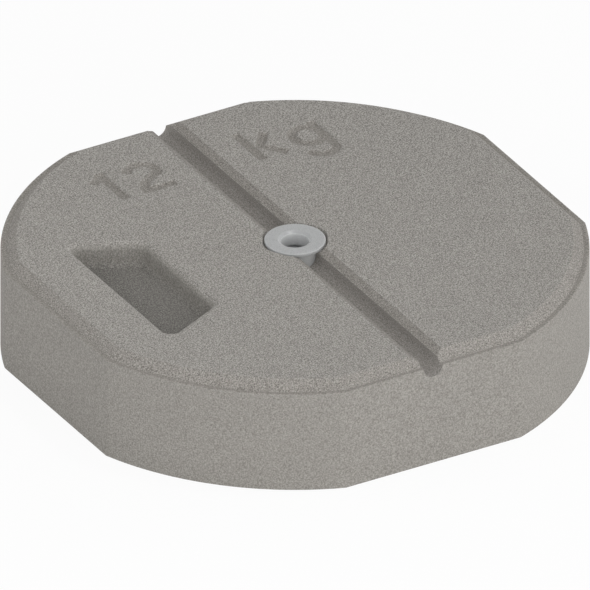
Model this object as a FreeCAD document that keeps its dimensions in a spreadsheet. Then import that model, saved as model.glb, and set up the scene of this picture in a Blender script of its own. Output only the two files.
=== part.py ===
# Umbrella base: a cast concrete weight slab with a flanged plastic bush set in its centre.
# Units are millimetres. Origin: centre of the underside. +Z is up. The groove runs along Y.
import FreeCAD, Part
import Sketcher
import os

V = FreeCAD.Vector
doc = FreeCAD.newDocument("umbrella_base")

# Sizes, each named once
SIZES = [
    ("disc_diameter", 330.0, "circle that the four curved sides lie on"),
    ("flat_cut", 10.0, "depth of each flat side inside that circle"),
    ("slab_height", 66.9, "underside to flat top"),
    ("rim_inset", 9.0, "width in plan of the sloping band round the top"),
    ("rim_drop", 5.5, "fall of the sloping band"),
    ("rim_round", 1.3, "rounding where the band meets the side"),
    ("groove_width", 12.0, "channel across the top, along Y, with a round bottom"),
    ("groove_depth", 11.3, "flat top to the lowest line of the channel"),
    ("groove_mouth_width", 20.5, "channel at the flat top, across its bevels"),
    ("groove_mouth_drop", 2.8, "depth of the mouth bevels"),
    ("seat_across_flats", 36.8, "hexagonal recess that the bush flange lies in"),
    ("seat_depth", 2.2, "flat top to the floor of that recess"),
    ("barrel_clearance", 0.05, "radial gap between the barrel and the concrete"),
    ("grip_outer", 114.1, "grip pocket: centre of the slab to its outer wall"),
    ("grip_inner", 75.1, "grip pocket: centre of the slab to its inner wall"),
    ("grip_outer_half", 57.7, "grip pocket: half its length along the outer wall"),
    ("grip_inner_half", 39.1, "grip pocket: half its length along the inner wall"),
    ("grip_depth", 14.5, "grip pocket: flat top to floor"),
    ("grip_draft", 2.0, "grip pocket: lean of its walls, degrees"),
    ("grip_corner", 4.8, "grip pocket: rounding between walls"),
    ("grip_floor_round", 4.0, "grip pocket: rounding at the floor"),
    ("grip_mouth_round", 4.8, "grip pocket: rounding of the mouth"),
    ("flange_diameter", 34.6, "bush flange"),
    ("flange_thickness", 2.4, "bush flange"),
    ("flange_bevel", 0.4, "both outer edges of the flange"),
    ("barrel_diameter", 28.4, "bush barrel"),
    ("barrel_lead", 0.8, "bevel at the lower end of the barrel"),
    ("barrel_recess", 2.1, "underside of the slab to the lower end of the barrel"),
    ("bore_diameter", 16.0, "neck of the bush"),
    ("bore_mouth_round", 1.7, "rounding of the neck's mouth"),
    ("neck_length", 8.5, "flange top to the step where the bush widens"),
    ("chamber_diameter", 22.0, "inside of the bush below the neck"),
]

sheet = doc.addObject("Spreadsheet::Sheet", "sizes")
for row, (name, value, note) in enumerate(SIZES, start=1):
    sheet.set("A%d" % row, name)
    sheet.set("B%d" % row, str(value))
    sheet.set("C%d" % row, note)
    sheet.setAlias("B%d" % row, name)
doc.recompute()


def size(name):
    return float(sheet.get(name))


# Helpers for bodies, sketches and features
def new_body(label):
    body = doc.addObject("PartDesign::Body", label)
    body.Label = label
    body.Placement = FreeCAD.Placement()
    return body


def new_sketch(body, name, role, height=None):
    """A sketch on one of the body's own planes, raised by an expression if one is given."""
    sketch = body.newObject("Sketcher::SketchObject", name)
    plane = [item for item in body.Origin.OriginFeatures if item.Role == role][0]
    sketch.AttachmentSupport = [(plane, "")]
    sketch.MapMode = "FlatFace"
    if height:
        sketch.setExpression("AttachmentOffset.Base.z", height)
    doc.recompute()
    return sketch


def constrain(sketch, kind, *args):
    """Adds a constraint; a last argument that is text binds its value to the sheet."""
    expression = None
    if isinstance(args[-1], str):
        expression = args[-1]
        args = args[:-1]
    index = sketch.addConstraint(Sketcher.Constraint(kind, *args))
    if expression:
        sketch.setExpression("Constraints[%d]" % index, expression)


def line(sketch, start, end):
    return sketch.addGeometry(Part.LineSegment(V(*start, 0), V(*end, 0)), False)


def place(sketch, geometry, point, x, y, x_size, y_size):
    """Ties a point to x and y from the origin. A size of None puts it on that axis."""
    for kind, value, bound in (("DistanceX", x, x_size), ("DistanceY", y, y_size)):
        if bound is None:
            constrain(sketch, kind, -1, 1, geometry, point, 0.0)
        elif value < 0:
            constrain(sketch, kind, geometry, point, -1, 1, -value, bound)
        else:
            constrain(sketch, kind, -1, 1, geometry, point, value, bound)


def polygon(sketch, corners):
    """Closed outline; each corner is (x, y, x size, y size)."""
    first = sketch.GeometryCount
    count = len(corners)
    for i in range(count):
        line(sketch, corners[i][:2], corners[(i + 1) % count][:2])
    for i in range(count):
        constrain(sketch, "Coincident", first + i, 2, first + (i + 1) % count, 1)
    for i, corner in enumerate(corners):
        place(sketch, first + i, 1, *corner)


def circle(sketch, diameter, bound):
    index = sketch.addGeometry(Part.Circle(V(0, 0, 0), V(0, 0, 1), diameter / 2), False)
    constrain(sketch, "Coincident", index, 3, -1, 1)
    constrain(sketch, "Diameter", index, diameter, bound)


def apply(feature, settings):
    """Sets properties; text that starts with = is bound as an expression."""
    for prop, value in settings.items():
        if isinstance(value, str) and value.startswith("="):
            feature.setExpression(prop, value[1:])
        else:
            setattr(feature, prop, value)
    doc.recompute()


def new_solid(body, kind, name, sketch, **settings):
    feature = body.newObject("PartDesign::" + kind, name)
    feature.Profile = sketch
    apply(feature, settings)
    return feature


def new_pocket(body, name, sketch, **settings):
    """A cut from a sketch; it has to take material away."""
    before = body.Tip.Shape.Volume
    feature = new_solid(body, "Pocket", name, sketch, **settings)
    assert feature.Shape.Volume < before - 1, name + " cuts nothing"


def new_dressing(body, kind, name, test, **settings):
    """A fillet or chamfer on the edges of the body's last feature that pass a test."""
    base = body.Tip
    names = ["Edge%d" % (i + 1) for i, edge in enumerate(base.Shape.Edges) if test(edge)]
    assert names, name + " finds no edge"
    feature = body.newObject("PartDesign::" + kind, name)
    feature.Base = (base, names)
    apply(feature, settings)


def at_level(edge, z):
    box = edge.BoundBox
    return abs(box.ZMin - z) < 0.01 and abs(box.ZMax - z) < 0.01


def in_grip(edge):
    """Test for the edges between the inner and the outer wall, to within 1 mm."""
    box = edge.BoundBox
    return -size("grip_outer") - 1 < box.XMin and box.XMax < -size("grip_inner") + 1


# Slab: a turned disc with a sloping band round its top
slab = new_body("concrete_slab")
disc = new_sketch(slab, "disc_profile", "XZ_Plane")
radius = size("disc_diameter") / 2
top = size("slab_height")
rim = top - size("rim_drop")
rim_bound = "sizes.slab_height - sizes.rim_drop"
polygon(disc, [
    (0.0, 0.0, None, None),
    (radius, 0.0, "sizes.disc_diameter / 2", None),
    (radius, rim, "sizes.disc_diameter / 2", rim_bound),
    (radius - size("rim_inset"), top, "sizes.disc_diameter / 2 - sizes.rim_inset", "sizes.slab_height"),
    (0.0, top, None, "sizes.slab_height"),
])
new_solid(slab, "Revolution", "slab_disc", disc, ReferenceAxis=(disc, ["V_Axis"]), Angle=360)

# Four flat sides, each with its own stretch of the sloping band
side_cut = new_sketch(slab, "flat_profile", "XZ_Plane")
flat = radius - size("flat_cut")
flat_bound = "sizes.disc_diameter / 2 - sizes.flat_cut"
polygon(side_cut, [
    (flat, 0.0, flat_bound, None),
    (flat, rim, flat_bound, rim_bound),
    (flat - size("rim_inset"), top, flat_bound + " - sizes.rim_inset", "sizes.slab_height"),
    (2 * radius, top, "sizes.disc_diameter", "sizes.slab_height"),
    (2 * radius, 0.0, "sizes.disc_diameter", None),
])
new_pocket(slab, "first_flat", side_cut, SideType="Symmetric", Length="=sizes.disc_diameter")
flats = slab.newObject("PartDesign::PolarPattern", "four_flats")
flats.Originals = [doc.getObject("first_flat")]
apply(flats, {"Axis": (side_cut, ["V_Axis"]), "Angle": 360, "Occurrences": 4})
slab.Tip = flats
new_dressing(slab, "Fillet", "rim_edge", lambda edge: at_level(edge, rim),
             Radius="=sizes.rim_round")

# Grip pocket: four leaning walls, then rounded corners, floor and mouth
grip = new_sketch(slab, "grip_outline", "XY_Plane", "sizes.slab_height")
outer_x, outer_y = -size("grip_outer"), size("grip_outer_half")
inner_x, inner_y = -size("grip_inner"), size("grip_inner_half")
polygon(grip, [
    (outer_x, -outer_y, "sizes.grip_outer", "sizes.grip_outer_half"),
    (inner_x, -inner_y, "sizes.grip_inner", "sizes.grip_inner_half"),
    (inner_x, inner_y, "sizes.grip_inner", "sizes.grip_inner_half"),
    (outer_x, outer_y, "sizes.grip_outer", "sizes.grip_outer_half"),
])
floor = top - size("grip_depth")
new_pocket(slab, "grip_pocket", grip, Length="=sizes.grip_depth",
           TaperAngle="=-sizes.grip_draft * 1 deg")
new_dressing(slab, "Fillet", "grip_corners",
             lambda edge: in_grip(edge) and edge.BoundBox.ZLength > size("grip_depth") - 1,
             Radius="=sizes.grip_corner")
new_dressing(slab, "Fillet", "grip_floor_edge",
             lambda edge: in_grip(edge) and at_level(edge, floor),
             Radius="=sizes.grip_floor_round")
new_dressing(slab, "Fillet", "grip_mouth_edge",
             lambda edge: in_grip(edge) and at_level(edge, top),
             Radius="=sizes.grip_mouth_round")

# Groove right across the top: bevelled mouth, straight sides, round bottom
groove = new_sketch(slab, "groove_outline", "XZ_Plane")
side = size("groove_width") / 2
mouth = size("groove_mouth_width") / 2
shoulder = top - size("groove_mouth_drop")
centre = top - size("groove_depth") + side
left = line(groove, (-mouth, top), (-side, shoulder))
left_wall = line(groove, (-side, shoulder), (-side, centre))
bottom = groove.addGeometry(
    Part.Arc(V(-side, centre, 0), V(0, centre - side, 0), V(side, centre, 0)), False)
right_wall = line(groove, (side, centre), (side, shoulder))
right = line(groove, (side, shoulder), (mouth, top))
lid = line(groove, (mouth, top), (-mouth, top))
constrain(groove, "Coincident", left, 2, left_wall, 1)
constrain(groove, "Coincident", left_wall, 2, bottom, 1)
constrain(groove, "Coincident", bottom, 2, right_wall, 1)
constrain(groove, "Coincident", right_wall, 2, right, 1)
constrain(groove, "Coincident", right, 2, lid, 1)
constrain(groove, "Coincident", lid, 2, left, 1)
constrain(groove, "Vertical", left_wall)
constrain(groove, "Vertical", right_wall)
constrain(groove, "Radius", bottom, side, "sizes.groove_width / 2")
place(groove, bottom, 3, 0.0, centre, None,
      "sizes.slab_height - sizes.groove_depth + sizes.groove_width / 2")
constrain(groove, "Horizontal", bottom, 1, bottom, 3)
constrain(groove, "Horizontal", bottom, 2, bottom, 3)
constrain(groove, "DistanceY", -1, 1, left_wall, 1, shoulder,
          "sizes.slab_height - sizes.groove_mouth_drop")
constrain(groove, "DistanceY", -1, 1, right_wall, 2, shoulder,
          "sizes.slab_height - sizes.groove_mouth_drop")
place(groove, left, 1, -mouth, top, "sizes.groove_mouth_width / 2", "sizes.slab_height")
place(groove, right, 2, mouth, top, "sizes.groove_mouth_width / 2", "sizes.slab_height")
new_pocket(slab, "groove_cut", groove, SideType="Symmetric", Length="=sizes.disc_diameter")

# Hexagonal flange recess, two of its corners on the X axis, and the through hole for the barrel
hole_bound = "sizes.barrel_diameter + 2 * sizes.barrel_clearance"
seat = new_sketch(slab, "seat_outline", "XY_Plane", "sizes.slab_height")
seat_flat = size("seat_across_flats") / 2
seat_corner = size("seat_across_flats") / 3 ** 0.5
flat_of_seat = "sizes.seat_across_flats / 2"
corner_of_seat = "sizes.seat_across_flats / sqrt(3)"
polygon(seat, [
    (seat_corner, 0.0, corner_of_seat, None),
    (seat_corner / 2, seat_flat, corner_of_seat + " / 2", flat_of_seat),
    (-seat_corner / 2, seat_flat, corner_of_seat + " / 2", flat_of_seat),
    (-seat_corner, 0.0, corner_of_seat, None),
    (-seat_corner / 2, -seat_flat, corner_of_seat + " / 2", flat_of_seat),
    (seat_corner / 2, -seat_flat, corner_of_seat + " / 2", flat_of_seat),
])
new_pocket(slab, "seat_cut", seat, Length="=sizes.seat_depth")
hole = new_sketch(slab, "hole_outline", "XY_Plane", "sizes.slab_height")
circle(hole, size("barrel_diameter") + 2 * size("barrel_clearance"), hole_bound)
new_pocket(slab, "hole_cut", hole, Type="ThroughAll")

# Bush: flange, barrel, narrow neck at the top and a wider chamber below it
bush = new_body("flanged_bush")
profile = new_sketch(bush, "bush_profile", "XZ_Plane")
flange_top = "sizes.slab_height - sizes.seat_depth + sizes.flange_thickness"
z_top = top - size("seat_depth") + size("flange_thickness")
z_flange = top - size("seat_depth")
z_step = z_top - size("neck_length")
z_end = size("barrel_recess")
polygon(profile, [
    (size("bore_diameter") / 2, z_top, "sizes.bore_diameter / 2", flange_top),
    (size("flange_diameter") / 2, z_top, "sizes.flange_diameter / 2", flange_top),
    (size("flange_diameter") / 2, z_flange, "sizes.flange_diameter / 2",
     "sizes.slab_height - sizes.seat_depth"),
    (size("barrel_diameter") / 2, z_flange, "sizes.barrel_diameter / 2",
     "sizes.slab_height - sizes.seat_depth"),
    (size("barrel_diameter") / 2, z_end, "sizes.barrel_diameter / 2", "sizes.barrel_recess"),
    (size("chamber_diameter") / 2, z_end, "sizes.chamber_diameter / 2", "sizes.barrel_recess"),
    (size("chamber_diameter") / 2, z_step, "sizes.chamber_diameter / 2",
     flange_top + " - sizes.neck_length"),
    (size("bore_diameter") / 2, z_step, "sizes.bore_diameter / 2",
     flange_top + " - sizes.neck_length"),
])
new_solid(bush, "Revolution", "bush_solid", profile, ReferenceAxis=(profile, ["V_Axis"]), Angle=360)


def ring(diameter, z):
    """Test for the circular edges of a diameter at a height."""
    return lambda edge: at_level(edge, z) and abs(edge.BoundBox.XLength - diameter) < 0.01


new_dressing(bush, "Fillet", "bore_mouth", ring(size("bore_diameter"), z_top),
             Radius="=sizes.bore_mouth_round")
new_dressing(bush, "Chamfer", "flange_top_edge", ring(size("flange_diameter"), z_top),
             Size="=sizes.flange_bevel")
new_dressing(bush, "Chamfer", "flange_lower_edge", ring(size("flange_diameter"), z_flange),
             Size="=sizes.flange_bevel")
new_dressing(bush, "Chamfer", "barrel_end", ring(size("barrel_diameter"), z_end),
             Size="=sizes.barrel_lead")

# Check every object, then write the two pieces
doc.recompute()
for item in doc.Objects:
    assert "Invalid" not in item.State and "Error" not in item.State, item.Name
os.makedirs("parts", exist_ok=True)
for body in (slab, bush):
    shape = body.Shape
    assert not shape.isNull() and shape.isValid() and len(shape.Solids) == 1, body.Label
    shape.exportStep("parts/%s.step" % body.Label)
    print(body.Label, "volume %.1f cm3" % (shape.Volume / 1000), shape.BoundBox)
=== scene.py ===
# Umbrella base: the looks of a cast concrete weight slab and the plastic bush in its centre.
# Lengths are in metres; sizes in millimetres are multiplied by MM. The groove runs along Y.
import math

import bmesh
import bpy
import numpy as np
from mathutils import Matrix, Vector


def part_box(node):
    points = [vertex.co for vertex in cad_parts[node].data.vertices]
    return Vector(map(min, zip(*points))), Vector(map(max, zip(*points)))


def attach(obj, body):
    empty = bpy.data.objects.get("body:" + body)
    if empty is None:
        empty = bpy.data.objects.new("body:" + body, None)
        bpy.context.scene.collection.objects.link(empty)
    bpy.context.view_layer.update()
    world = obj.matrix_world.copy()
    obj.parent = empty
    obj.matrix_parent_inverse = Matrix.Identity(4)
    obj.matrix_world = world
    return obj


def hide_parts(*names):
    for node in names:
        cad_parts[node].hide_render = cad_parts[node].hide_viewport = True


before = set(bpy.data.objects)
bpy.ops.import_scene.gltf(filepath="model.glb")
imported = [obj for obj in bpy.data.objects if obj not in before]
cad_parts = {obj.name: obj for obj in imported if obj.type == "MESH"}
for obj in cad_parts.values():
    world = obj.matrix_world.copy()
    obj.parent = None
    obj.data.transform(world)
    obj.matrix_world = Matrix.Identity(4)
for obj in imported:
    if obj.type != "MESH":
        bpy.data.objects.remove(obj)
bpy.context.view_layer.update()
MM = 0.001

# Heights and widths that the frame gives
slab_low, slab_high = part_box("concrete_slab")
bush_low, bush_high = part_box("flanged_bush")
UNDERSIDE = slab_low.z
TOP = slab_high.z
FLAT = slab_high.x
BUSH_END = bush_low.z
FLANGE_TOP = bush_high.z
FLANGE_RADIUS = bush_high.x

# Plan and rim of the slab
DISC_RADIUS = 165 * MM
RIM_INSET = 9 * MM
LIP_DROP = 5.35 * MM
LIP_ROUND = 0.7 * MM
GUTTER_INSET = 3.2 * MM
GUTTER_DROP = 5.75 * MM
ARC_STEPS = 48
FLAT_STEPS = 12
RIM_STEPS = 6

# Groove, flange recess and through hole
GROOVE_WIDTH = 12 * MM
GROOVE_DEPTH = 11.3 * MM
GROOVE_MOUTH_WIDTH = 20.5 * MM
GROOVE_MOUTH_DROP = 2.8 * MM
SEAT_ACROSS_FLATS = 36.8 * MM
SEAT_DEPTH = 2.2 * MM
SEAT_CORNER = 12 * MM
SEAT_LEAN = 0.9 * MM
SEAT_STEPS = 6
HOLE_RADIUS = 14.25 * MM
ROUND_STEPS = 96

# Grip pocket: a trapezium in plan, with leaning walls and rounded everywhere
GRIP_OUTER = 114.1 * MM
GRIP_INNER = 75.1 * MM
GRIP_OUTER_HALF = 57.7 * MM
GRIP_INNER_HALF = 39.1 * MM
GRIP_DEPTH = 14.5 * MM
GRIP_LEAN = math.radians(2)
GRIP_CORNER = 4.8 * MM
GRIP_FLOOR_ROUND = 4 * MM
GRIP_MOUTH_ROUND = 4.8 * MM
GRIP_STEPS = 10

# Bush: flange, barrel, neck with a bevelled mouth, wider chamber below
FLANGE_THICKNESS = 2.4 * MM
FLANGE_BEVEL = 0.4 * MM
BARREL_RADIUS = 14.2 * MM
BARREL_LEAD = 0.8 * MM
NECK_RADIUS = 8 * MM
NECK_LENGTH = 8.5 * MM
MOUTH_WIDTH = 1.7 * MM
MOUTH_DROP = 1.1 * MM
CHAMBER_RADIUS = 11 * MM

# Edges that a mould leaves slightly soft, where faces turn by more than SOFT_ANGLE
SOFT_EDGE = 0.45 * MM
BUSH_SOFT_EDGE = 0.15 * MM
SOFT_ANGLE = math.radians(24)

# A turn of CREASE_ANGLE shades as a crease, points within WELD join, a face within LEVEL is the top's
CREASE_ANGLE = math.radians(50)
WELD = 0.002 * MM
LEVEL = 0.01 * MM

# Sunken characters: strokes of one width with sloping sides, on a grid of small cells
STROKE_WIDTH = 4.8 * MM
STROKE_SLOPE = 2.2 * MM
STROKE_DEPTH = 1.8 * MM
FIELD_CELL = 0.5 * MM
FIELD_MARGIN = 1.5 * MM
CURVE_STEPS = 14

# Concrete: faint patch size, and the share of painted shade on the pocket floor along its two sides
PATCH = 22 * MM
POCKET_SHADE_OUTER = 0.47
POCKET_SHADE_INNER = 0.24

# Floor, and the camera's view
FLOOR_HALF = 6.0
FLOOR_GAP = 0.1 * MM
FLOOR_GLOW = 0.92
VIEW_AZIMUTH = math.radians(-30)
VIEW_ELEVATION = math.radians(30)
VIEW_WIDTH = 330.4 * MM
VIEW_HEIGHT = 30.82 * MM
VIEW_DISTANCE = 2.0


# Plan shapes and profiles
def slab_outline(inset):
    """Plan of the slab's edge moved in by a distance: four flats joined by arcs of one circle."""
    flat = FLAT - inset
    radius = DISC_RADIUS - inset
    reach = math.acos(flat / radius)
    points = []
    for quarter in range(4):
        turn = Matrix.Rotation(quarter * math.pi / 2, 2)
        half = flat * math.tan(reach)
        for step in range(FLAT_STEPS):
            points.append(turn @ Vector((flat, half * (2 * step / FLAT_STEPS - 1))))
        for step in range(ARC_STEPS):
            angle = reach + (math.pi / 2 - 2 * reach) * step / ARC_STEPS
            points.append(turn @ Vector((radius * math.cos(angle), radius * math.sin(angle))))
    return points


def rounded_outline(corners, corner_round, steps, outward):
    """A polygon with its corners rounded, then moved out by a distance."""
    points = []
    for i, corner in enumerate(corners):
        before = (corner - corners[i - 1]).normalized()
        after = (corners[(i + 1) % len(corners)] - corner).normalized()
        turn = before.angle(after)
        start = math.atan2(before.y, before.x) - math.pi / 2
        inward = (after - before).normalized()
        centre = corner + inward * corner_round / math.cos(turn / 2)
        for step in range(steps + 1):
            angle = start + turn * step / steps
            radius = corner_round + outward
            points.append(centre + radius * Vector((math.cos(angle), math.sin(angle))))
    return points


def grip_outline(outward):
    """Plan of the pocket, a trapezium."""
    corners = [Vector((-GRIP_OUTER, -GRIP_OUTER_HALF)), Vector((-GRIP_INNER, -GRIP_INNER_HALF)),
               Vector((-GRIP_INNER, GRIP_INNER_HALF)), Vector((-GRIP_OUTER, GRIP_OUTER_HALF))]
    return rounded_outline(corners, GRIP_CORNER, GRIP_STEPS, outward)


def seat_outline(outward):
    """Plan of the flange recess, a hexagon with two corners on the X axis."""
    turns = [i * math.pi / 3 for i in range(6)]
    reach = SEAT_ACROSS_FLATS / math.sqrt(3)
    corners = [reach * Vector((math.cos(a), math.sin(a))) for a in turns]
    return rounded_outline(corners, SEAT_CORNER, SEAT_STEPS, outward)


def ring_outline(radius):
    """A circle about the centre of the slab."""
    turns = [2 * math.pi * i / ROUND_STEPS for i in range(ROUND_STEPS)]
    return [radius * Vector((math.cos(a), math.sin(a))) for a in turns]


def rim_profile():
    """(inset, height) from the underside up over the lip and its gutter to the flat top."""
    fall = math.atan2(GUTTER_DROP - LIP_DROP, GUTTER_INSET - LIP_ROUND)
    points = [(0.0, UNDERSIDE)]
    for step in range(RIM_STEPS + 1):
        angle = (math.pi / 2 + fall) * step / RIM_STEPS
        points.append((LIP_ROUND * (1 - math.cos(angle)),
                       TOP - LIP_DROP - LIP_ROUND * (1 - math.sin(angle))))
    points.append((GUTTER_INSET, TOP - GUTTER_DROP))
    points.append((RIM_INSET, TOP))
    return points


def grip_profile():
    """(outward, height) from the flat top down over the rounded mouth, wall and floor."""
    lean = math.tan(GRIP_LEAN)
    points = []
    centre = GRIP_MOUTH_ROUND / math.cos(GRIP_LEAN) - lean * GRIP_MOUTH_ROUND
    for step in range(GRIP_STEPS + 1):
        angle = math.pi / 2 + (math.pi / 2 - GRIP_LEAN) * step / GRIP_STEPS
        points.append((centre + GRIP_MOUTH_ROUND * math.cos(angle),
                       TOP - GRIP_MOUTH_ROUND * (1 - math.sin(angle))))
    depth = GRIP_DEPTH - GRIP_FLOOR_ROUND
    centre = -GRIP_FLOOR_ROUND / math.cos(GRIP_LEAN) - lean * depth
    for step in range(GRIP_STEPS + 1):
        angle = -GRIP_LEAN - (math.pi / 2 - GRIP_LEAN) * step / GRIP_STEPS
        points.append((centre + GRIP_FLOOR_ROUND * math.cos(angle),
                       TOP - depth + GRIP_FLOOR_ROUND * math.sin(angle)))
    return points


# Mesh building
def stack(mesh, outlines, heights, close_low, close_high):
    """Skins plan outlines with equal numbers of points, each at its height."""
    rings = [[mesh.verts.new((p.x, p.y, z)) for p in outline] for outline, z in zip(outlines, heights)]
    count = len(rings[0])
    for lower, upper in zip(rings, rings[1:]):
        for i in range(count):
            after = (i + 1) % count
            mesh.faces.new((lower[i], lower[after], upper[after], upper[i]))
    if close_low:
        mesh.faces.new(reversed(rings[0]))
    if close_high:
        mesh.faces.new(rings[-1])


def as_object(name, mesh):
    """Turns a bmesh into an object in the scene."""
    data = bpy.data.meshes.new(name)
    bmesh.ops.recalc_face_normals(mesh, faces=mesh.faces)
    mesh.to_mesh(data)
    mesh.free()
    made = bpy.data.objects.new(name, data)
    bpy.context.scene.collection.objects.link(made)
    return made


def soften(mesh, width):
    """A small rounding on every edge that turns by more than SOFT_ANGLE."""
    sharp = [edge for edge in mesh.edges
             if len(edge.link_faces) == 2 and edge.calc_face_angle() > SOFT_ANGLE]
    bmesh.ops.bevel(mesh, geom=sharp, offset=width, offset_type="OFFSET", segments=2,
                    profile=0.5, affect="EDGES", clamp_overlap=True)


def shade_smooth(mesh):
    """Smooth faces; an edge that turns by more than CREASE_ANGLE stays sharp."""
    bmesh.ops.recalc_face_normals(mesh, faces=mesh.faces)
    for face in mesh.faces:
        face.smooth = True
    for edge in mesh.edges:
        edge.smooth = len(edge.link_faces) == 2 and edge.calc_face_angle() < CREASE_ANGLE


def even_normals(target):
    """Large flat faces keep flat shading next to their roundings."""
    weighted = target.modifiers.new("even_normals", "WEIGHTED_NORMAL")
    weighted.keep_sharp = True
    weighted.weight = 100


def groove_cutter():
    """A bar with the groove's section: bevelled mouth, straight sides, round bottom."""
    side = GROOVE_WIDTH / 2
    mouth = GROOVE_MOUTH_WIDTH / 2
    spread = (mouth - side) / GROOVE_MOUTH_DROP
    above = 3 * MM
    section = [(mouth + spread * above, TOP + above), (side, TOP - GROOVE_MOUTH_DROP)]
    for step in range(ROUND_STEPS // 4 + 1):
        angle = -math.pi * step / (ROUND_STEPS // 4)
        section.append((side * math.cos(angle), TOP - GROOVE_DEPTH + side * (1 + math.sin(angle))))
    section += [(-side, TOP - GROOVE_MOUTH_DROP), (-mouth - spread * above, TOP + above)]
    mesh = bmesh.new()
    ends = [[mesh.verts.new((x, y, z)) for x, z in section] for y in (-DISC_RADIUS, DISC_RADIUS)]
    count = len(section)
    for i in range(count):
        after = (i + 1) % count
        mesh.faces.new((ends[0][i], ends[0][after], ends[1][after], ends[1][i]))
    mesh.faces.new(reversed(ends[0]))
    mesh.faces.new(ends[1])
    return as_object("groove_cutter", mesh)


def seat_cutter():
    """The flange recess: its walls lean out by SEAT_LEAN from its floor to the top."""
    mesh = bmesh.new()
    stack(mesh, [seat_outline(-SEAT_LEAN), seat_outline(SEAT_LEAN)],
          [TOP - SEAT_DEPTH, TOP + SEAT_DEPTH], True, True)
    return as_object("seat_cutter", mesh)


def hole_cutter():
    """A round bar for the through hole."""
    beyond = 5 * MM
    mesh = bmesh.new()
    stack(mesh, [ring_outline(HOLE_RADIUS)] * 2, [UNDERSIDE - beyond, TOP + beyond], True, True)
    return as_object("hole_cutter", mesh)


def cut(target, *cutters):
    """Takes the cutters out of the target and deletes them."""
    for cutter in cutters:
        modifier = target.modifiers.new(cutter.name, "BOOLEAN")
        modifier.operation = "DIFFERENCE"
        modifier.solver = "EXACT"
        modifier.object = cutter
    bpy.context.view_layer.update()
    solved = bpy.data.meshes.new_from_object(
        target.evaluated_get(bpy.context.evaluated_depsgraph_get()))
    target.modifiers.clear()
    target.data = solved
    for cutter in cutters:
        bpy.data.objects.remove(cutter)


# Sunken characters, drawn as the middle lines of strokes, in millimetres from the centre of the slab
def arc(x, y, half_width, half_height, start, end):
    """Points on an ellipse between two angles in degrees."""
    angles = np.radians(np.linspace(start, end, CURVE_STEPS))
    return [(x + half_width * math.cos(a), y + half_height * math.sin(a)) for a in angles]


STEM_TOP = 118.4
STEM_FOOT = 87.3
ONE = [[(-67.2, 110.2), (-64.0, 111.8), (-61.0, 114.4), (-58.6, 118.0)],
       [(-58.6, STEM_TOP), (-58.6, STEM_FOOT)]]
TWO = [arc(-36.2, 108.6, 8.7, 8.2, 160, -28)
       + [(-30.8, 103.4), (-34.8, 101.4), (-39.0, 98.9), (-41.9, 95.6), (-43.4, 92.4), (-43.8, 89.4)],
       [(-46.2, 89.4), (-26.0, 89.4)]]
LETTER_K = [[(29.9, STEM_TOP), (29.9, STEM_FOOT)],
            [(44.4, 112.4), (35.4, 100.2)],
            [(35.4, 101.0), (45.8, 88.0)]]
LETTER_G = [arc(64.4, 97.9, 8.7, 9.6, 0, 360), arc(65.0, 82.2, 8.4, 7.2, 188, 360) + [(73.4, 110.0)]]


def stroke_distance(x, y, strokes):
    """Distance of grid points from the middle of the nearest stroke; open ends are cut square."""
    nearest = np.full(x.shape, np.inf)
    for stroke in strokes:
        points = [np.array(p) * MM for p in stroke]
        for i, (start, end) in enumerate(zip(points, points[1:])):
            along = end - start
            length = np.hypot(*along)
            along = along / length
            run = (x - start[0]) * along[0] + (y - start[1]) * along[1]
            across = np.abs((y - start[1]) * along[0] - (x - start[0]) * along[1])
            beyond = np.maximum(-run, run - length) + STROKE_WIDTH / 2
            nearest = np.minimum(nearest, np.maximum(across, beyond))
            if i > 0:
                nearest = np.minimum(nearest, np.hypot(x - start[0], y - start[1]))
    return nearest


def letter_field(mesh, strokes):
    """A flat rectangle of the top with the strokes sunk into it; its border lies in the top."""
    points = np.array([p for stroke in strokes for p in stroke]) * MM
    reach = STROKE_WIDTH / 2 + STROKE_SLOPE + FIELD_MARGIN
    low = points.min(0) - reach
    high = points.max(0) + reach
    counts = np.ceil((high - low) / FIELD_CELL).astype(int)
    xs = np.linspace(low[0], high[0], counts[0] + 1)
    ys = np.linspace(low[1], high[1], counts[1] + 1)
    x, y = np.meshgrid(xs, ys, indexing="ij")
    side = (STROKE_WIDTH / 2 + STROKE_SLOPE / 2 - stroke_distance(x, y, strokes)) / STROKE_SLOPE
    side = np.clip(side, 0, 1)
    z = TOP - STROKE_DEPTH * side * side * (3 - 2 * side)
    grid = [[mesh.verts.new((x[i, j], y[i, j], z[i, j])) for j in range(len(ys))]
            for i in range(len(xs))]
    for i in range(len(xs) - 1):
        for j in range(len(ys) - 1):
            mesh.faces.new((grid[i][j], grid[i + 1][j], grid[i + 1][j + 1], grid[i][j + 1]))


def is_top(face):
    """True for a face that lies in the slab's flat top."""
    return face.normal.z > 0.999 and abs(face.calc_center_median().z - TOP) < LEVEL


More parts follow.
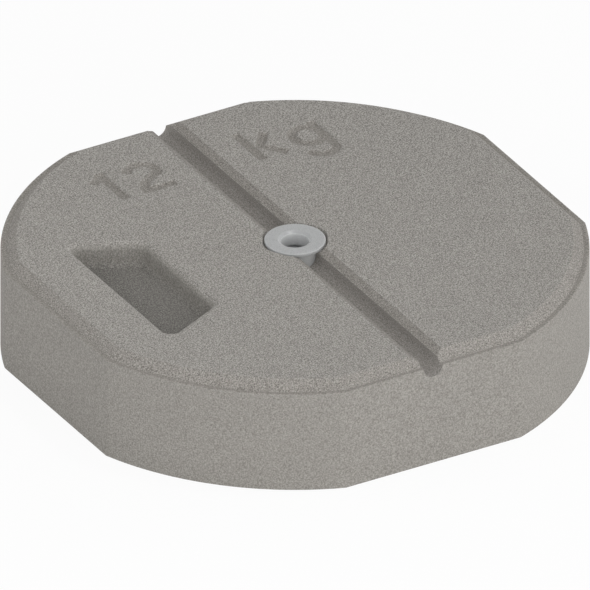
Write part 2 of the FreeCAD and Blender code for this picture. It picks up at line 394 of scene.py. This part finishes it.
def slab_casting():
    """The concrete slab: lofted sides and rim, cut groove and hole, pocket and characters let in."""
    profile = rim_profile()
    mesh = bmesh.new()
    stack(mesh, [slab_outline(inset) for inset, _ in profile], [z for _, z in profile], True, True)
    slab = as_object("slab_casting", mesh)
    cut(slab, groove_cutter(), seat_cutter(), hole_cutter())

    mesh = bmesh.new()
    mesh.from_mesh(slab.data)
    bmesh.ops.remove_doubles(mesh, verts=mesh.verts, dist=WELD)
    soften(mesh, SOFT_EDGE)

    # The flat top comes off, the pocket and the character fields go in, and it is filled again
    mesh.normal_update()
    bmesh.ops.delete(mesh, geom=[face for face in mesh.faces if is_top(face)], context="FACES")
    profile = grip_profile()
    stack(mesh, [grip_outline(outward) for outward, _ in profile], [z for _, z in profile], False, True)
    for strokes in (ONE + TWO, LETTER_K + LETTER_G):
        letter_field(mesh, strokes)
    rims = [edge for edge in mesh.edges if edge.is_boundary]
    bmesh.ops.triangle_fill(mesh, edges=rims, use_beauty=True, normal=(0, 0, 1))
    shade_smooth(mesh)
    mesh.to_mesh(slab.data)
    mesh.free()
    even_normals(slab)
    return slab


def bush_moulding():
    """The bush as one turned shell: barrel, flange, bevelled mouth, neck and chamber."""
    low = FLANGE_TOP - FLANGE_THICKNESS
    step = FLANGE_TOP - NECK_LENGTH
    profile = [(BARREL_RADIUS - BARREL_LEAD, BUSH_END), (BARREL_RADIUS, BUSH_END + BARREL_LEAD),
               (BARREL_RADIUS, low), (FLANGE_RADIUS - FLANGE_BEVEL, low),
               (FLANGE_RADIUS, low + FLANGE_BEVEL), (FLANGE_RADIUS, FLANGE_TOP - FLANGE_BEVEL),
               (FLANGE_RADIUS - FLANGE_BEVEL, FLANGE_TOP), (NECK_RADIUS + MOUTH_WIDTH, FLANGE_TOP),
               (NECK_RADIUS, FLANGE_TOP - MOUTH_DROP), (NECK_RADIUS, step), (CHAMBER_RADIUS, step),
               (CHAMBER_RADIUS, BUSH_END), (BARREL_RADIUS - BARREL_LEAD, BUSH_END)]
    mesh = bmesh.new()
    stack(mesh, [ring_outline(radius) for radius, _ in profile], [z for _, z in profile], False, False)
    bmesh.ops.remove_doubles(mesh, verts=mesh.verts, dist=WELD)
    soften(mesh, BUSH_SOFT_EDGE)
    shade_smooth(mesh)
    bush = as_object("bush_moulding", mesh)
    even_normals(bush)
    return bush


# Materials
def linear(code):
    """Linear colour of an sRGB hex value."""
    parts = [int(code[i:i + 2], 16) / 255 for i in (1, 3, 5)]
    return tuple(p / 12.92 if p <= 0.04045 else ((p + 0.055) / 1.055) ** 2.4 for p in parts) + (1.0,)


def node(tree, kind, inputs=None, **settings):
    """Adds a shader node. An input is a plain value or another node's output."""
    made = tree.nodes.new("ShaderNode" + kind)
    for name, value in settings.items():
        setattr(made, name, value)
    for name, value in (inputs or {}).items():
        if isinstance(value, bpy.types.NodeSocket):
            tree.links.new(value, made.inputs[name])
        else:
            made.inputs[name].default_value = value
    return made


def new_material(name):
    """A material with an output and nothing else; returns it, its node tree and the output."""
    material = bpy.data.materials.new(name)
    material.use_nodes = True
    tree = material.node_tree
    tree.nodes.clear()
    return material, tree, node(tree, "OutputMaterial")


def cast_concrete(where, light, dark, grain, relief, shade_pocket_floor=False):
    """Cast concrete: dull grey paste with sand at its face, which gives a fine speckle.

    Most of the sand is too fine to show, so it is drawn with grains of 0.75 to 0.9 mm. In the grip
    pocket, painted shade darkens the floor, most along its outer wall and between the grains.
    """
    material, tree, output = new_material("cast_concrete_" + where)
    place = node(tree, "TexCoord").outputs["Object"]
    sand = node(tree, "TexNoise", {"Vector": place, "Scale": 1 / (grain * MM), "Detail": 2.0,
                                   "Roughness": 0.6}).outputs["Fac"]
    patches = node(tree, "TexNoise", {"Vector": place, "Scale": 1 / PATCH, "Detail": 3.0,
                                      "Roughness": 0.55}).outputs["Fac"]
    speckle = node(tree, "MapRange", {"Value": sand, "From Min": 0.32, "From Max": 0.68})
    shade = node(tree, "MapRange", {"Value": patches, "From Min": 0.3, "From Max": 0.7,
                                    "To Min": 0.985, "To Max": 1.015})
    colour = node(tree, "Mix", {0: speckle.outputs[0], 6: linear(dark), 7: linear(light)},
                  data_type="RGBA")
    # Painted shade over the pocket floor, deepest along the outer wall and on the dark grains
    if shade_pocket_floor:
        spot = node(tree, "SeparateXYZ", {0: place})
        low = node(tree, "MapRange", {"Value": spot.outputs["Z"], "From Min": TOP - GRIP_DEPTH,
                                      "From Max": TOP - GRIP_DEPTH + GRIP_FLOOR_ROUND,
                                      "To Min": 1.0, "To Max": 0.0})
        outer = node(tree, "MapRange", {"Value": spot.outputs["X"], "From Min": -GRIP_OUTER,
                                        "From Max": -GRIP_INNER, "To Min": POCKET_SHADE_OUTER,
                                        "To Max": POCKET_SHADE_INNER})
        shade_on_dark_grains = node(tree, "MapRange", {"Value": speckle.outputs[0], "To Min": 1.5, "To Max": 0.5})
        pocket_shade = node(tree, "Math", {0: low.outputs[0], 1: outer.outputs[0]}, operation="MULTIPLY")
        pocket_shade = node(tree, "Math", {0: pocket_shade.outputs[0], 1: shade_on_dark_grains.outputs[0]}, operation="MULTIPLY")
        unshaded = node(tree, "Math", {0: 1.0, 1: pocket_shade.outputs[0]}, operation="SUBTRACT")
        shade = node(tree, "Math", {0: shade.outputs[0], 1: unshaded.outputs[0]}, operation="MULTIPLY")
    toned = node(tree, "VectorMath", {0: colour.outputs[2], "Scale": shade.outputs[0]},
                 operation="SCALE")
    bump = node(tree, "Bump", {"Height": sand, "Strength": 1.0, "Distance": relief * MM})
    surface = node(tree, "BsdfPrincipled", {"Base Color": toned.outputs[0], "Roughness": 0.92,
                                            "Normal": bump.outputs[0]})
    tree.links.new(surface.outputs[0], output.inputs["Surface"])
    return material


def moulded_polypropylene(where, light, dark):
    """Injection moulded grey polypropylene: a satin face, soft with light from inside.

    The mould's spark-eroded grain is too fine to show, so it is drawn at 0.5 mm.
    """
    material, tree, output = new_material("moulded_polypropylene_" + where)
    place = node(tree, "TexCoord").outputs["Object"]
    grain = node(tree, "TexNoise", {"Vector": place, "Scale": 1 / (0.5 * MM),
                                    "Detail": 2.0}).outputs["Fac"]
    colour = node(tree, "Mix", {0: grain, 6: linear(dark), 7: linear(light)}, data_type="RGBA")
    rough = node(tree, "MapRange", {"Value": grain, "To Min": 0.24, "To Max": 0.32})
    bump = node(tree, "Bump", {"Height": grain, "Strength": 0.3, "Distance": 0.05 * MM})
    surface = node(tree, "BsdfPrincipled", {
        "Base Color": colour.outputs[2], "IOR": 1.49, "Roughness": rough.outputs[0],
        "Normal": bump.outputs[0], "Subsurface Weight": 0.8, "Subsurface Scale": 4 * MM,
        "Subsurface Radius": (1.0, 1.0, 1.0)})
    tree.links.new(surface.outputs[0], output.inputs["Surface"])
    return material


# For each place on the slab: light and dark grain, grain size and relief in millimetres, and whether
# painted shade darkens the floor there
CONCRETE = {
    "open_face": ("#BCB9B3", "#615D59", 0.75, 0.55),
    "mould_side": ("#A5A29C", "#7C7873", 0.85, 0.2),
    "rim_seam": ("#A8A49E", "#75716B", 0.9, 0.4),
    # Grip pocket: a copy of the open face, with painted shade over its floor
    "grip_pocket": ("#AAA7A1", "#75726D", 0.75, 0.35, True),
    # Sunken mark: painted shade, a darker copy of the open face in the strokes
    "sunken_mark_painted_shade": ("#ADA9A3", "#67635D", 0.75, 0.5),
    # Rim band: painted shade, a slightly darker copy of the open face for the light on its slope
    "rim_band_painted_shade": ("#B2AEA8", "#67635E", 0.75, 0.5),
    "groove": ("#AFABA6", "#77736E", 0.75, 0.4),
    # Groove bevel: painted shade, a darker copy of the open face on the groove's bevelled mouth
    "groove_bevel_painted_shade": ("#A8A49E", "#635F5A", 0.75, 0.45),
    # Groove edge: painted highlight, a light line where the groove's bevel meets its straight sides
    "groove_edge_painted_highlight": ("#C6C3BD", "#918E88", 0.75, 0.3),
}

# For each place on the bush: light and dark shade. Bore and barrel are painted light: lighter copies of
# the flange's plastic
POLYPROPYLENE = {
    "flange": ("#AFB0B0", "#A7A8A8"),
    # Bore: painted light, much lighter than the flange
    "bore_painted_light": ("#D2D3D3", "#CACBCB"),
    # Barrel and everything below the flange: painted light, lighter than the flange
    "barrel": ("#C4C5C5", "#BCBDBD"),
}


def slab_place(face):
    """Names the place on the slab that a face belongs to."""
    x, y, z = face.center
    from_centre = math.hypot(x, y)
    inset = min(FLAT - max(abs(x), abs(y)), DISC_RADIUS - from_centre)
    if z < UNDERSIDE + SOFT_EDGE or (inset < LIP_ROUND and z < TOP - LIP_DROP - LIP_ROUND / 2):
        return "mould_side"
    if inset < GUTTER_INSET + SOFT_EDGE and z < TOP - LIP_DROP + SOFT_EDGE:
        return "rim_seam"
    if (abs(abs(x) - GROOVE_WIDTH / 2) < SOFT_EDGE and abs(z - TOP + GROOVE_MOUTH_DROP) < SOFT_EDGE
            and from_centre > SEAT_ACROSS_FLATS / 2):
        return "groove_edge_painted_highlight"
    if abs(x) < GROOVE_MOUTH_WIDTH / 2 and 0.7 < face.normal.z < 0.95 and z > TOP - GROOVE_MOUTH_DROP:
        return "groove_bevel_painted_shade"
    if (abs(x) < GROOVE_WIDTH / 2 + SOFT_EDGE / 2 and z < TOP - GROOVE_MOUTH_DROP
            and from_centre > HOLE_RADIUS + SOFT_EDGE):
        return "groove"
    if GUTTER_INSET < inset < RIM_INSET - SOFT_EDGE and face.normal.z > 0.5:
        return "rim_band_painted_shade"
    if x < -GRIP_INNER + GRIP_MOUTH_ROUND and z < TOP - GRIP_MOUTH_ROUND / 4:
        return "grip_pocket"
    if y > GRIP_OUTER_HALF and abs(x) > GROOVE_MOUTH_WIDTH and z < TOP - STROKE_DEPTH / 4:
        return "sunken_mark_painted_shade"
    return "open_face"


def bush_place(face):
    """Names the place on the bush that a face belongs to."""
    x, y, z = face.center
    if math.hypot(x, y) < CHAMBER_RADIUS + BUSH_SOFT_EDGE and z < FLANGE_TOP - MOUTH_DROP:
        return "bore_painted_light"
    if z < FLANGE_TOP - FLANGE_THICKNESS:
        return "barrel"
    return "flange"


def paint(target, make, shades, place_of):
    """Gives each face of a piece the material of its place."""
    target.data.materials.clear()
    for place, values in shades.items():
        target.data.materials.append(make(place, *values))
    places = list(shades)
    for face in target.data.polygons:
        face.material_index = places.index(place_of(face))


# The object's pieces
slab = slab_casting()
paint(slab, cast_concrete, CONCRETE, slab_place)
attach(slab, "root")
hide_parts("concrete_slab")

bush = bush_moulding()
paint(bush, moulded_polypropylene, POLYPROPYLENE, bush_place)
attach(bush, "root")
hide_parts("flanged_bush")


# Floor, light and camera
def plain_floor():
    """A pale floor that shows white and still takes the object's shadow."""
    mesh = bmesh.new()
    bmesh.ops.create_grid(mesh, x_segments=1, y_segments=1, size=FLOOR_HALF,
                          matrix=Matrix.Translation((0, 0, UNDERSIDE - FLOOR_GAP)))
    floor = as_object("floor", mesh)
    material, tree, output = new_material("pale_studio_floor")
    seen = node(tree, "LightPath")
    direct = node(tree, "Math", {0: seen.outputs["Is Camera Ray"], 1: seen.outputs["Is Glossy Ray"]},
                  operation="MAXIMUM")
    direct = node(tree, "Math", {0: direct.outputs[0], 1: seen.outputs["Is Transmission Ray"]},
                  operation="MAXIMUM")
    share = node(tree, "Math", {0: direct.outputs[0], 1: FLOOR_GLOW}, operation="MULTIPLY")
    matt = node(tree, "BsdfDiffuse", {"Color": linear("#F2F2F2")})
    glow = node(tree, "Emission", {"Color": linear("#FFFFFF"), "Strength": 1.0})
    mixed = node(tree, "MixShader", {0: share.outputs[0], 1: matt.outputs[0], 2: glow.outputs[0]})
    tree.links.new(mixed.outputs[0], output.inputs["Surface"])
    floor.data.materials.append(material)


def soft_world(even, low_band, lobes):
    """A pale room that shows white: even light, more near the horizon, and a lobe for each lit wall."""
    world = bpy.data.worlds.new("studio")
    bpy.context.scene.world = world
    world.use_nodes = True
    tree = world.node_tree
    tree.nodes.clear()
    output = node(tree, "OutputWorld")
    seen = node(tree, "LightPath")
    direct = node(tree, "Math", {0: seen.outputs["Is Camera Ray"],
                                 1: seen.outputs["Is Transmission Ray"]}, operation="MAXIMUM")
    way = node(tree, "TexCoord").outputs["Generated"]
    height = node(tree, "SeparateXYZ", {0: way}).outputs["Z"]
    height = node(tree, "Clamp", {"Value": height})
    fall = node(tree, "Math", {0: 1.0, 1: height.outputs[0]}, operation="SUBTRACT")
    fall = node(tree, "Math", {0: fall.outputs[0], 1: 2.0}, operation="POWER")
    light = node(tree, "Math", {0: fall.outputs[0], 1: low_band, 2: even}, operation="MULTIPLY_ADD")
    for azimuth, strength in lobes:
        a = math.radians(azimuth)
        facing = node(tree, "VectorMath", {0: way, 1: (math.cos(a), math.sin(a), 0.0)},
                      operation="DOT_PRODUCT")
        facing = node(tree, "Math", {0: facing.outputs["Value"], 1: 0.0}, operation="MAXIMUM")
        light = node(tree, "Math", {0: facing.outputs[0], 1: strength, 2: light.outputs[0]},
                     operation="MULTIPLY_ADD")
    level = node(tree, "Mix", {0: direct.outputs[0], 2: light.outputs[0], 3: 1.0})
    sky = node(tree, "Background", {"Color": linear("#FFFFFF"), "Strength": level.outputs[0]})
    tree.links.new(sky.outputs[0], output.inputs["Surface"])


def softbox(name, azimuth, elevation, distance, size, power):
    """A square lamp aimed at the object. Azimuth turns from +X towards +Y; angles in degrees."""
    lamp = bpy.data.lights.new(name, "AREA")
    lamp.size = size
    lamp.energy = power
    holder = bpy.data.objects.new(name, lamp)
    a = math.radians(azimuth)
    e = math.radians(elevation)
    away = Vector((math.cos(a) * math.cos(e), math.sin(a) * math.cos(e), math.sin(e)))
    holder.location = Vector((0, 0, TOP / 2)) + away * distance
    holder.rotation_euler = away.to_track_quat("Z", "Y").to_euler()
    bpy.context.scene.collection.objects.link(holder)


def photo_camera():
    """Parallel view from the front left and above, as the photograph has it."""
    level = math.cos(VIEW_ELEVATION)
    back = Vector((math.sin(VIEW_AZIMUTH) * level, -math.cos(VIEW_AZIMUTH) * level,
                   math.sin(VIEW_ELEVATION)))
    data = bpy.data.cameras.new("camera")
    data.type = "ORTHO"
    data.ortho_scale = VIEW_WIDTH
    camera = bpy.data.objects.new("camera", data)
    camera.location = Vector((0, 0, VIEW_HEIGHT)) + back * VIEW_DISTANCE
    camera.rotation_euler = back.to_track_quat("Z", "Y").to_euler()
    bpy.context.scene.collection.objects.link(camera)
    bpy.context.scene.camera = camera


plain_floor()
soft_world(even=0.31, low_band=0.70, lobes=[(-145, 0.38), (0, 0.42)])
softbox("front_softbox", azimuth=-95, elevation=22, distance=1.6, size=1.4, power=7.9)
softbox("right_softbox", azimuth=-10, elevation=15, distance=1.6, size=1.4, power=3.5)
softbox("high_softbox", azimuth=-36, elevation=73, distance=1.8, size=0.26, power=4.2)
softbox("left_softbox", azimuth=175, elevation=50, distance=0.55, size=0.3, power=0.32)
photo_camera()
bpy.context.scene.view_settings.view_transform = "Standard"
